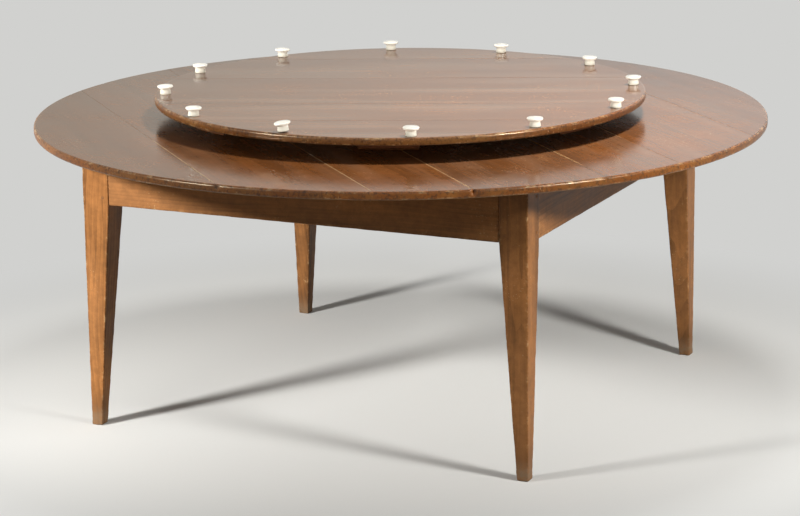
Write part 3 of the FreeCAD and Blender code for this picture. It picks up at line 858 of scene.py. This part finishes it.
def leg_tree():
    """A square leg, upright on its two outer faces and tapered on its two inner ones."""
    tree, given = new_tree(
        "tapered_leg", Float=("Height", "Leg width", "Foot width", "Taper height", "Outer corner",
                              "Arris", "Wear", "Seed", "Board"),
        Vector=("Turn",), Material=("Material",))
    cube, spot = crowded_cube(tree, LEG_LINES)
    level = add_node(tree, "ShaderNodeSeparateXYZ", [spot]).outputs["Z"]
    half_height = add_node(tree, "ShaderNodeMath", [given["Height"], 0.5], operation="MULTIPLY")
    height = add_node(tree, "ShaderNodeMath", [level, half_height, half_height],
                      operation="MULTIPLY_ADD")
    width = add_node(tree, "ShaderNodeMapRange", [
        height, 0.0, given["Taper height"], given["Foot width"], given["Leg width"]])
    half_width = add_node(tree, "ShaderNodeMath", [width, 0.5], operation="MULTIPLY")
    half = add_node(tree, "ShaderNodeCombineXYZ", [half_width, half_width, half_height])
    # Feet are kicked: knocks get deeper over the last 70 mm
    kicked = add_node(tree, "ShaderNodeMapRange", [height, 0.0, 70 * MM, 1.7, 1.0])
    wear = add_node(tree, "ShaderNodeMath", [given["Wear"], kicked], operation="MULTIPLY")
    place, near = eased_block(tree, spot, half, given["Arris"], wear, given["Seed"])
    middle = add_node(tree, "ShaderNodeMath", [half_width, given["Outer corner"]],
                      operation="SUBTRACT")
    middle = add_node(tree, "ShaderNodeCombineXYZ", [middle, middle, half_height])
    return end_block(tree, cube, place, middle, near, given)


def rail_tree():
    """A straight rail between two corners, with eased and knocked arrises."""
    tree, given = new_tree(
        "eased_rail", Vector=("Low corner", "High corner", "Turn"),
        Float=("Arris", "Wear", "Seed", "Board"), Material=("Material",))
    cube, spot = crowded_cube(tree, RAIL_LINES)
    span = add_node(tree, "ShaderNodeVectorMath", [given["High corner"], given["Low corner"]],
                    operation="SUBTRACT")
    half = add_node(tree, "ShaderNodeVectorMath", [span, 0.5], operation="SCALE")
    middle = add_node(tree, "ShaderNodeVectorMath", [given["Low corner"], half])
    place, near = eased_block(tree, spot, half, given["Arris"], given["Wear"], given["Seed"])
    return end_block(tree, cube, place, middle, near, given)


# A knob's turned outline as shares of the cap's radius and the height, from the foot's middle up
KNOB_OUTLINE = [
    (0.0, 0.0), (0.66, 0.0), (0.69, 0.015), (0.7, 0.05), (0.695, 0.1), (0.685, 0.16),
    (0.675, 0.22), (0.66, 0.3), (0.65, 0.38), (0.65, 0.46), (0.675, 0.54), (0.76, 0.6),
    (0.9, 0.64), (0.965, 0.71), (1.0, 0.775), (0.985, 0.84), (0.93, 0.885), (0.85, 0.905),
    (0.78, 0.9), (0.7, 0.915), (0.55, 0.95), (0.35, 0.98), (0.15, 0.996), (0.0, 1.0)]
FOOT_SHARE = max(radius for radius, _ in KNOB_OUTLINE[:5])


def turned_knob(tree, given, cap):
    """One knob: a sheet rolled round the axis, its radius and height led along the outline."""
    sheet = add_node(tree, "GeometryNodeMeshGrid", {"Size X": 1.0, "Size Y": 1.0, **KNOB_LINES})
    here = add_node(tree, "GeometryNodeInputPosition")
    across, up, _ = add_node(tree, "ShaderNodeSeparateXYZ", [here]).outputs
    angle = add_node(tree, "ShaderNodeMath", [across, FULL_TURN], operation="MULTIPLY")
    along = add_node(tree, "ShaderNodeMath", [up, 0.5])
    steps = [math.hypot(b[0] - a[0], b[1] - a[1])
             for a, b in zip(KNOB_OUTLINE, KNOB_OUTLINE[1:])]
    places = [sum(steps[:number]) / sum(steps) for number in range(len(KNOB_OUTLINE))]
    curves = []
    for axis in (0, 1):
        curve = add_node(tree, "ShaderNodeFloatCurve", {"Value": along})
        line = curve.mapping.curves[0].points
        for place, outline in list(zip(places, KNOB_OUTLINE))[1:-1]:
            line.new(place, outline[axis])
        line[0].location = (0.0, KNOB_OUTLINE[0][axis])
        line[-1].location = (1.0, KNOB_OUTLINE[-1][axis])
        for stop in line:
            stop.handle_type = "AUTO_CLAMPED"
        curve.mapping.update()
        curves.append(curve)
    radius = add_node(tree, "ShaderNodeMath", [curves[0], cap], operation="MULTIPLY")
    place = []
    for way in ("COSINE", "SINE"):
        way = add_node(tree, "ShaderNodeMath", [angle], operation=way)
        place.append(add_node(tree, "ShaderNodeMath", [way, radius], operation="MULTIPLY"))
    place.append(add_node(tree, "ShaderNodeMath", [curves[1], given["Knob height"]],
                          operation="MULTIPLY"))
    place = add_node(tree, "ShaderNodeCombineXYZ", place)
    turned = add_node(tree, "GeometryNodeSetPosition", {"Geometry": sheet, "Position": place})
    return add_node(tree, "GeometryNodeMergeByDistance", {"Geometry": turned, "Distance": 1e-5})


def knob_tree():
    """Knobs round a circle, each a little out of plumb and one leaning on its foot's edge."""
    tree, given = new_tree(
        "ring_of_knobs", Int=("Count", "Leaning knob", "Seed"),
        Float=("Circle radius", "First knob", "Base height", "Knob height", "Cap width", "Lean",
               "Lean towards", "Uneven"), Material=("Material",))
    cap = add_node(tree, "ShaderNodeMath", [given["Cap width"], 0.5], operation="MULTIPLY")
    knob = turned_knob(tree, given, cap)
    ring = add_node(tree, "GeometryNodeMeshCircle", {
        "Vertices": given["Count"], "Radius": given["Circle radius"]}, fill_type="NONE")
    spin = add_node(tree, "ShaderNodeCombineXYZ", {"Z": given["First knob"]})
    lift = add_node(tree, "ShaderNodeCombineXYZ", {"Z": given["Base height"]})
    ring = add_node(tree, "GeometryNodeTransform", {"Geometry": ring, "Rotation": spin,
                                                    "Translation": lift})
    least = add_node(tree, "ShaderNodeMath", [given["Uneven"], -1.0], operation="MULTIPLY")
    low = add_node(tree, "ShaderNodeCombineXYZ", [least, least, -3.14])
    high = add_node(tree, "ShaderNodeCombineXYZ", [given["Uneven"], given["Uneven"], 3.14])
    tilt = add_node(tree, "FunctionNodeRandomValue", {"Min": low, "Max": high,
                                                      "Seed": given["Seed"]},
                    data_type="FLOAT_VECTOR")
    number = add_node(tree, "GeometryNodeInputIndex")
    wanted = add_node(tree, "ShaderNodeMath", [given["Leaning knob"], 1.0],
                      operation="SUBTRACT")
    leaning = add_node(tree, "ShaderNodeMath", [number, wanted, 0.1], operation="COMPARE")
    upright = add_node(tree, "ShaderNodeMath", [1.0, leaning], operation="SUBTRACT")
    tilt = add_node(tree, "ShaderNodeVectorMath", [tilt, upright], operation="SCALE")
    knobs = add_node(tree, "GeometryNodeInstanceOnPoints", {
        "Points": ring, "Instance": knob, "Rotation": tilt})

    # The loose one tips about the edge of its foot, square to the way it leans
    way_x = add_node(tree, "ShaderNodeMath", [given["Lean towards"]], operation="COSINE")
    way_y = add_node(tree, "ShaderNodeMath", [given["Lean towards"]], operation="SINE")
    way = add_node(tree, "ShaderNodeCombineXYZ", [way_x, way_y])
    foot = add_node(tree, "ShaderNodeMath", [cap, FOOT_SHARE], operation="MULTIPLY")
    edge = add_node(tree, "ShaderNodeVectorMath", [way, foot], operation="SCALE")
    standing = add_node(tree, "GeometryNodeInputPosition")
    pivot = add_node(tree, "ShaderNodeVectorMath", [standing, edge])
    minus = add_node(tree, "ShaderNodeMath", [way_y, -1.0], operation="MULTIPLY")
    axis = add_node(tree, "ShaderNodeCombineXYZ", [minus, way_x])
    lean = add_node(tree, "FunctionNodeAxisAngleToRotation", {"Axis": axis,
                                                              "Angle": given["Lean"]})
    knobs = add_node(tree, "GeometryNodeRotateInstances", {
        "Instances": knobs, "Selection": leaning, "Rotation": lean, "Pivot Point": pivot,
        "Local Space": False})
    return end_tree(tree, knobs, given)


# Stage

FLOOR_REACH = 60.0  # metres
FLOOR_FADE = (0.85, 1.75)  # metres from the middle, between which paper becomes backdrop
FLOOR_LIFT = 0.02  # how much the paper glows by itself, so that shadows stay soft
LEFT_STAND, RIGHT_STAND = (-1.9, -3.0, 1.92), (2.95, -0.9, 2.0)
TOP_MIDDLE, RIM_MIDDLE = (0.0, 0.0, 0.72), (0.0, 0.0, 0.75)
# Lamps by name, each with its place, what it points at, its size in metres, its spread in
# degrees, the setting of its power, and its light group
LAMPS = {
    "left_lamp": (LEFT_STAND, (-0.9, -0.65, 0.45), 0.5, 55, "left_lamp", "flagged_off"),
    "right_lamp": (RIGHT_STAND, (0.6, 0.1, 0.3), 0.5, 75, "right_lamp", "flagged_off"),
    "top_lamp": ((0.2, 0.5, 3.3), TOP_MIDDLE, 0.9, 180, "top_lamp", "flagged_off"),
    "board_lamp": ((0.8, 0.55, 3.3), (0.5, -0.25, 0.72), 0.5, 62, "board_lamp", "gridded_on"),
    "left_glint": (LEFT_STAND, TOP_MIDDLE, 0.5, 60, "glint", "gridded_on"),
    "right_glint": (RIGHT_STAND, TOP_MIDDLE, 0.5, 60, "glint", "gridded_on"),
    "left_card": ((-2.4, -1.2, 0.8), RIM_MIDDLE, 0.25, 180, "cards", "beside_cards"),
    "right_card": ((3.0, -1.1, 0.8), RIM_MIDDLE, 0.25, 180, "cards", "beside_cards")}
# The camera: its lens and sensor in mm, its place, and which ways are right, up and back for it
LENS, SENSOR = 125.154, 36.0
CAMERA_PLACE = (2.88619, -6.21815, 2.05839)
CAMERA_WAYS = ((0.907931, 0.418931, -0.012551), (-0.090642, 0.225507, 0.970016),
               (0.409200, -0.879570, 0.242717))


def seen_rays(tree):
    """1 where a surface is seen, also in a gloss or through glass, and the rays' own outputs."""
    rays = add_node(tree, "ShaderNodeLightPath").outputs
    seen = rays["Is Camera Ray"]
    for ray in ("Is Glossy Ray", "Is Transmission Ray"):
        seen = add_node(tree, "ShaderNodeMath", [seen, rays[ray]], operation="MAXIMUM")
    return seen, rays


def matte_paper(light):
    """Matte paper of the floor, which fades into the plain backdrop colour away from the table."""
    material, tree, at = new_material("matte_paper_floor")
    away = add_node(tree, "ShaderNodeVectorMath", [at], operation="LENGTH").outputs["Value"]
    far = add_node(tree, "ShaderNodeMapRange", [away, *FLOOR_FADE],
                   interpolation_type="SMOOTHSTEP")
    seen, rays = seen_rays(tree)
    fibre = add_node(tree, "ShaderNodeTexNoise", [at, 400.0, 2.0])  # 2.5 mm long
    paper = add_node(tree, "ShaderNodeValToRGB", [fibre],
                     [(0.3, linear("E4E3DE")), (0.7, linear("E9E8E3"))])
    share = add_nodes(tree, "ShaderNodeMath", {
        "plain": (far, seen),
        "bounced": (rays["Is Diffuse Ray"], 1.0 - light.bounce),
        "lift": (seen, FLOOR_LIFT)}, operation="MULTIPLY")
    paper = add_node(tree, "ShaderNodeMix", [share.bounced, paper, linear("000000")],
                     data_type="RGBA")
    matte = add_node(tree, "ShaderNodeBsdfPrincipled", {
        "Base Color": paper, "Roughness": 0.95, "Specular IOR Level": 0.1,
        "Emission Color": linear("FFFFFF"), "Emission Strength": share.lift})
    glow = add_node(tree, "ShaderNodeEmission", {"Color": linear("D1D1CF")})
    shader = add_node(tree, "ShaderNodeMixShader", [share.plain, matte, glow])
    add_node(tree, "ShaderNodeOutputMaterial", [shader])
    return material


def studio_world(light):
    """Fill from all round, and a backdrop a little brighter and cooler towards the right."""
    world = bpy.data.worlds.new("studio")
    world.use_nodes = True
    tree = world.node_tree
    tree.nodes.clear()
    seen, _ = seen_rays(tree)
    fill = add_node(tree, "ShaderNodeBackground", [linear("F4F3F0"), light.sky])
    way = add_node(tree, "ShaderNodeTexCoord").outputs["Generated"]
    way = add_node(tree, "ShaderNodeSeparateXYZ", [way]).outputs["X"]
    share = add_node(tree, "ShaderNodeMapRange", [way, -0.55, -0.28])
    glow = add_node(tree, "ShaderNodeMapRange", [share, 0.0, 1.0, 0.87, 1.14])
    wall = add_node(tree, "ShaderNodeMix", [share, linear("F0E4D3"), shaded(light.backdrop)],
                    data_type="RGBA")
    shown = add_node(tree, "ShaderNodeBackground", [wall, glow])
    both = add_node(tree, "ShaderNodeMixShader", [seen, fill, shown])
    add_node(tree, "ShaderNodeOutputWorld", [both])
    return world


# Operators, one for each piece or group of like pieces

class TABLE_OT_stage(bpy.types.Operator):
    """Floor, backdrop colours, lamps, cards and the camera"""
    bl_idname = "table.stage"
    bl_label = "Stage"

    def execute(self, context):
        scene = context.scene
        light = scene.dining_table.light
        mesh = bpy.data.meshes.new("studio_floor")
        corners = [(x * FLOOR_REACH, y * FLOOR_REACH, 0)
                   for x, y in ((-1, -1), (1, -1), (1, 1), (-1, 1))]
        mesh.from_pydata(corners, [], [(0, 1, 2, 3)])
        mesh.materials.append(matte_paper(light))
        floor = bpy.data.objects.new("studio_floor", mesh)
        scene.collection.objects.link(floor)
        scene.world = studio_world(light)

        # The side lamps and the top lamp are flagged off the boards of the top and the tray,
        # where they leave only a gleam on the rims. A gridded lamp above lights only those
        # boards, and two cards beside them their rims and the knobs.
        groups = {group: bpy.data.collections.new(group) for group in LIGHT_GROUPS}
        for name, (place, target, size, spread, power, group) in LAMPS.items():
            lamp = bpy.data.lights.new(name, "AREA")
            lamp.shape = "DISK"
            lamp.size = size
            lamp.spread = math.radians(spread)
            lamp.energy = getattr(light, power)
            holder = bpy.data.objects.new(name, lamp)
            holder.location = place
            way = Vector(target) - Vector(place)
            holder.rotation_euler = way.to_track_quat("-Z", "Y").to_euler()
            holder.light_linking.receiver_collection = groups[group]
            gleam = power == "glint"
            holder.visible_glossy = gleam or group == "flagged_off"
            holder.visible_diffuse = not gleam
            if gleam:
                lamp.color = linear("F5E3C4", False)
            scene.collection.objects.link(holder)

        lens = bpy.data.cameras.new("camera")
        lens.lens, lens.sensor_width = LENS, SENSOR
        camera = bpy.data.objects.new("camera", lens)
        turn = Matrix(CAMERA_WAYS).transposed().to_4x4()
        camera.matrix_world = Matrix.Translation(CAMERA_PLACE) @ turn
        scene.collection.objects.link(camera)
        scene.camera = camera
        scene.view_settings.view_transform = "Standard"
        return {"FINISHED"}


CHIP_SEEDS = {"top": 5, "tray": 8}
LEG_SEED, RAIL_SEED, KNOB_SEED = 3.7, 7.9, 4
RAIL_ARRIS, RAIL_WEAR = 0.7, 0.6  # as shares of the legs'
# Joints of the top's boards: the place in TOP_BOARDS of the board beyond it, the width and depth
# of the chip at its near end, and from where to where along it the pale seam shows, which is
# pale filler and a painted highlight of the joint's edges
TOP_JOINTS = ((1, 6 * MM, 2 * MM, 0.1, 0.6), (2, 2 * MM, 1 * MM, 0.38, 0.9),
              (3, 3.4 * MM, 6 * MM, 0.45, 0.95), (4, 2.5 * MM, 3 * MM, 0.45, 0.75),
              (5, 1.5 * MM, 1.5 * MM, 0.4, 0.5))


class TABLE_OT_top(bpy.types.Operator):
    """The seven boards of the round top"""
    bl_idname = "table.top"
    bl_label = "Top"

    def execute(self, context):
        lay_boards("top", context.scene.dining_table.top, TOP_BOARDS, TOP_TURN, "table",
                   TOP_JOINTS, CHIP_SEEDS["top"], first=1)
        return {"FINISHED"}


class TABLE_OT_legs(bpy.types.Operator):
    """The four tapered legs"""
    bl_idname = "table.legs"
    bl_label = "Legs"

    def execute(self, context):
        sizes = context.scene.dining_table.frame
        tree = leg_tree()
        # Each leg's tone, set by its number in the table above, is painted light and shade
        for number, (node, board) in enumerate(zip(LEGS, LEG_SHADE_BOARDS)):
            mesh = grown(tree, {
                "Height": LEG_HIGH.z, "Leg width": sizes.leg_width,
                "Foot width": sizes.foot_width, "Taper height": RAIL_LOW.z,
                "Outer corner": -LEG_LOW.x, "Arris": sizes.arris, "Wear": sizes.wear,
                "Seed": LEG_SEED * (number + 1), "Board": float(board),
                "Turn": (0.0, 0.0, QUARTER_TURN * number), "Material": finish("leg")})
            keep_piece(f"worn_{node}", mesh, "table", [node])
        return {"FINISHED"}


class TABLE_OT_rails(bpy.types.Operator):
    """The four rails between the legs, and the pegs that pin their tenons"""
    bl_idname = "table.rails"
    bl_label = "Rails"

    def execute(self, context):
        sizes = context.scene.dining_table.frame
        tree = rail_tree()
        reach = -LEG_HIGH.x
        for number, node in enumerate(RAILS):
            mesh = grown(tree, {
                "Low corner": (-reach, RAIL_LOW.y, RAIL_LOW.z),
                "High corner": (reach, RAIL_HIGH.y, RAIL_HIGH.z),
                "Arris": sizes.arris * RAIL_ARRIS, "Wear": sizes.wear * RAIL_WEAR,
                "Seed": RAIL_SEED * (number + 1), "Board": 0.0,
                "Turn": (0.0, 0.0, QUARTER_TURN * number),
                "Material": finish("rail_y" if number % 2 else "rail_x")})
            keep_piece(f"worn_{node}", mesh, "table", [node])
        dress("peg", "rail_pegs")
        return {"FINISHED"}


class TABLE_OT_underside(bpy.types.Operator):
    """Glue blocks, bearer, battens and their screws under the top"""
    bl_idname = "table.underside"
    bl_label = "Underside"

    def execute(self, context):
        dress("block", "glue_blocks", "top_dowels")
        dress("bearer", "pivot_bearer", "top_batten_left", "top_batten_right")
        dress("iron", "bearer_screws", "top_batten_screws")
        return {"FINISHED"}


class TABLE_OT_pivot(bpy.types.Operator):
    """The hub, washer, pin and bush on which the tray turns"""
    bl_idname = "table.pivot"
    bl_label = "Pivot"

    def execute(self, context):
        dress("bearer", "hub")
        dress("iron", "pivot_pin", "pivot_pin_screws", "hub_screws")
        dress("brass", "thrust_washer", "pivot_bush")
        return {"FINISHED"}


class TABLE_OT_tray(bpy.types.Operator):
    """The five boards of the round tray, and its battens"""
    bl_idname = "table.tray"
    bl_label = "Tray"

    def execute(self, context):
        lay_boards("tray", context.scene.dining_table.tray, TRAY_BOARDS, TRAY_TURN, "tray",
                   (), CHIP_SEEDS["tray"], first=21)
        dress("tray_batten", "tray_batten_left", "tray_batten_middle", "tray_batten_right")
        dress("bearer", "tray_dowels")
        dress("iron", "tray_batten_screws")
        return {"FINISHED"}


class TABLE_OT_knobs(bpy.types.Operator):
    """The turned porcelain knobs round the tray, on their screws"""
    bl_idname = "table.knobs"
    bl_label = "Knobs"

    def execute(self, context):
        sizes = context.scene.dining_table.knobs
        mesh = grown(knob_tree(), {
            "Count": sizes.count, "Circle radius": TRAY_HIGH.x - sizes.inset,
            "First knob": sizes.first, "Base height": TRAY_HIGH.z, "Knob height": sizes.height,
            "Cap width": sizes.width, "Leaning knob": sizes.leaning, "Lean": sizes.lean,
            "Lean towards": sizes.lean_towards, "Uneven": sizes.uneven, "Seed": KNOB_SEED,
            "Material": finish("porcelain")})
        knobs = keep_piece("porcelain_knobs", mesh, "tray", KNOBS)
        bpy.data.collections["beside_cards"].objects.link(knobs)
        dress("iron", "knob_screws")
        return {"FINISHED"}


OPERATORS = (TABLE_OT_stage, TABLE_OT_top, TABLE_OT_legs, TABLE_OT_rails, TABLE_OT_underside,
             TABLE_OT_pivot, TABLE_OT_tray, TABLE_OT_knobs)


class TABLE_PT_panel(bpy.types.Panel):
    """The table's pieces"""
    bl_idname = "TABLE_PT_panel"
    bl_label = "Dining table"
    bl_space_type = "VIEW_3D"
    bl_region_type = "UI"
    bl_category = "Table"

    def draw(self, context):
        for operator in OPERATORS:
            self.layout.operator(operator.bl_idname)


CLASSES = (TopSizes, TraySizes, FrameSizes, KnobSizes, Finishes, StageLight, DiningTable,
           *OPERATORS, TABLE_PT_panel)


def register():
    for kind in CLASSES:
        bpy.utils.register_class(kind)
    bpy.types.Scene.dining_table = PointerProperty(type=DiningTable)


def unregister():
    del bpy.types.Scene.dining_table
    for kind in reversed(CLASSES):
        bpy.utils.unregister_class(kind)


def main():
    register()
    for operator in OPERATORS:
        group, name = operator.bl_idname.split(".")
        getattr(getattr(bpy.ops, group), name)()


if __name__ == "__main__":
    main()
